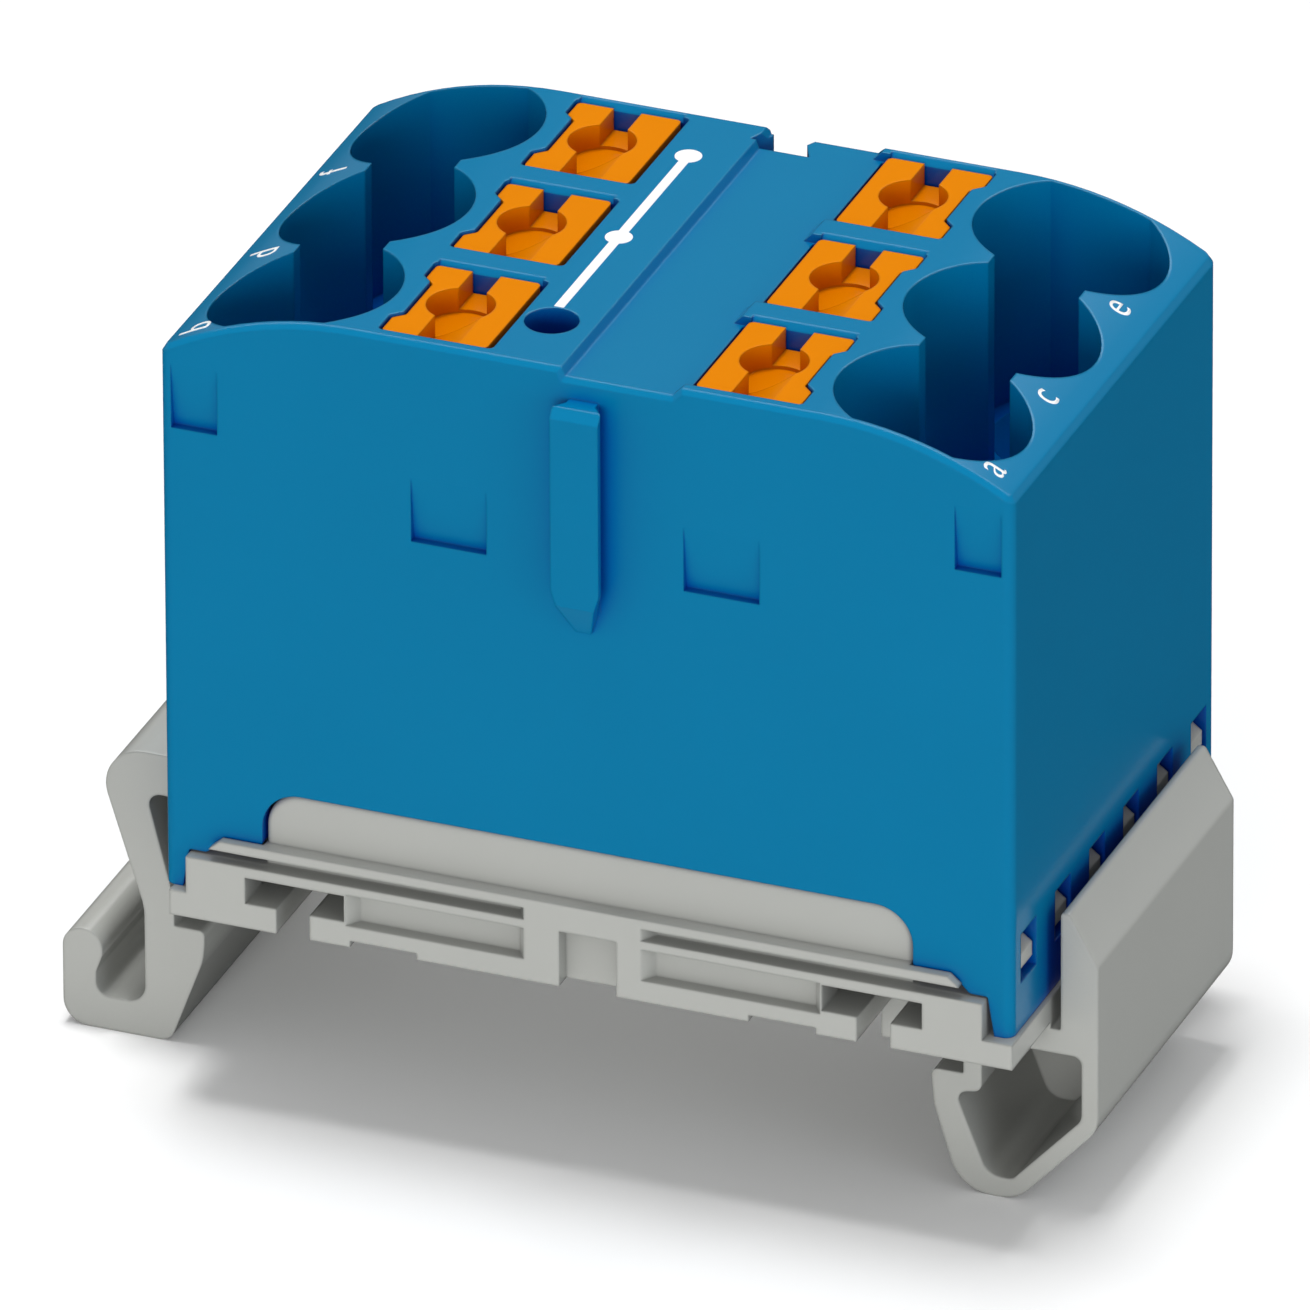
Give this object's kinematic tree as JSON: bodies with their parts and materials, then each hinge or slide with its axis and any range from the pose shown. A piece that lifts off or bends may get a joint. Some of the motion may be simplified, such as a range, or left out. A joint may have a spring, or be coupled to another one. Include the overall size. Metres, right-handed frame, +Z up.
{
  "type": "power distribution block",
  "caption": "Push-in power distribution block on a clip-on rail adapter, with spring clamps on a common bus bar, wire funnels and release buttons.",
  "frame": {"origin": "middle of the part's footprint, on the surface that its feet stand on", "axes": "+Z up, out of the funnels; +Y along the rail, from the face with the dovetail rib to the back; +X across the rail, from the foot with the finger grip to the foot with the closed loop"},
  "size_m": [0.0464, 0.0252, 0.0373],
  "materials": {
    "blue_polyamide": "satin moulded",
    "grey_polyamide": "satin moulded",
    "orange_polyamide": "satin moulded",
    "tinned_copper": "bright tin",
    "spring_steel": "bright rolled"
  },
  "bodies": {
    "block": {"housing": "blue_polyamide", "rail_adapter": "grey_polyamide", "busbar": "tinned_copper", "clamp_cage_a": "tinned_copper", "clamp_cage_b": "tinned_copper", "clamp_cage_c": "tinned_copper", "clamp_cage_d": "tinned_copper", "clamp_cage_e": "tinned_copper", "clamp_cage_f": "tinned_copper", "clamp_spring_a": "spring_steel", "clamp_spring_b": "spring_steel", "clamp_spring_c": "spring_steel", "clamp_spring_d": "spring_steel", "clamp_spring_e": "spring_steel", "clamp_spring_f": "spring_steel"},
    "button_a": {"button_a": "orange_polyamide"},
    "button_b": {"button_b": "orange_polyamide"},
    "button_c": {"button_c": "orange_polyamide"},
    "button_d": {"button_d": "orange_polyamide"},
    "button_e": {"button_e": "orange_polyamide"},
    "button_f": {"button_f": "orange_polyamide"}
  },
  "joints": [
    {"name": "press_a", "type": "slide", "parent": "block", "child": "button_a", "axis": [0, 0, -1], "range_m": [0, 0.0015], "stiffness_N_per_m": 1500, "springref_m": -0.0005, "deforming": ["clamp_spring_a"]},
    {"name": "press_b", "type": "slide", "parent": "block", "child": "button_b", "axis": [0, 0, -1], "range_m": [0, 0.0015], "stiffness_N_per_m": 1500, "springref_m": -0.0005, "deforming": ["clamp_spring_b"]},
    {"name": "press_c", "type": "slide", "parent": "block", "child": "button_c", "axis": [0, 0, -1], "range_m": [0, 0.0015], "stiffness_N_per_m": 1500, "springref_m": -0.0005, "deforming": ["clamp_spring_c"]},
    {"name": "press_d", "type": "slide", "parent": "block", "child": "button_d", "axis": [0, 0, -1], "range_m": [0, 0.0015], "stiffness_N_per_m": 1500, "springref_m": -0.0005, "deforming": ["clamp_spring_d"]},
    {"name": "press_e", "type": "slide", "parent": "block", "child": "button_e", "axis": [0, 0, -1], "range_m": [0, 0.0015], "stiffness_N_per_m": 1500, "springref_m": -0.0005, "deforming": ["clamp_spring_e"]},
    {"name": "press_f", "type": "slide", "parent": "block", "child": "button_f", "axis": [0, 0, -1], "range_m": [0, 0.0015], "stiffness_N_per_m": 1500, "springref_m": -0.0005, "deforming": ["clamp_spring_f"]}
  ]
}
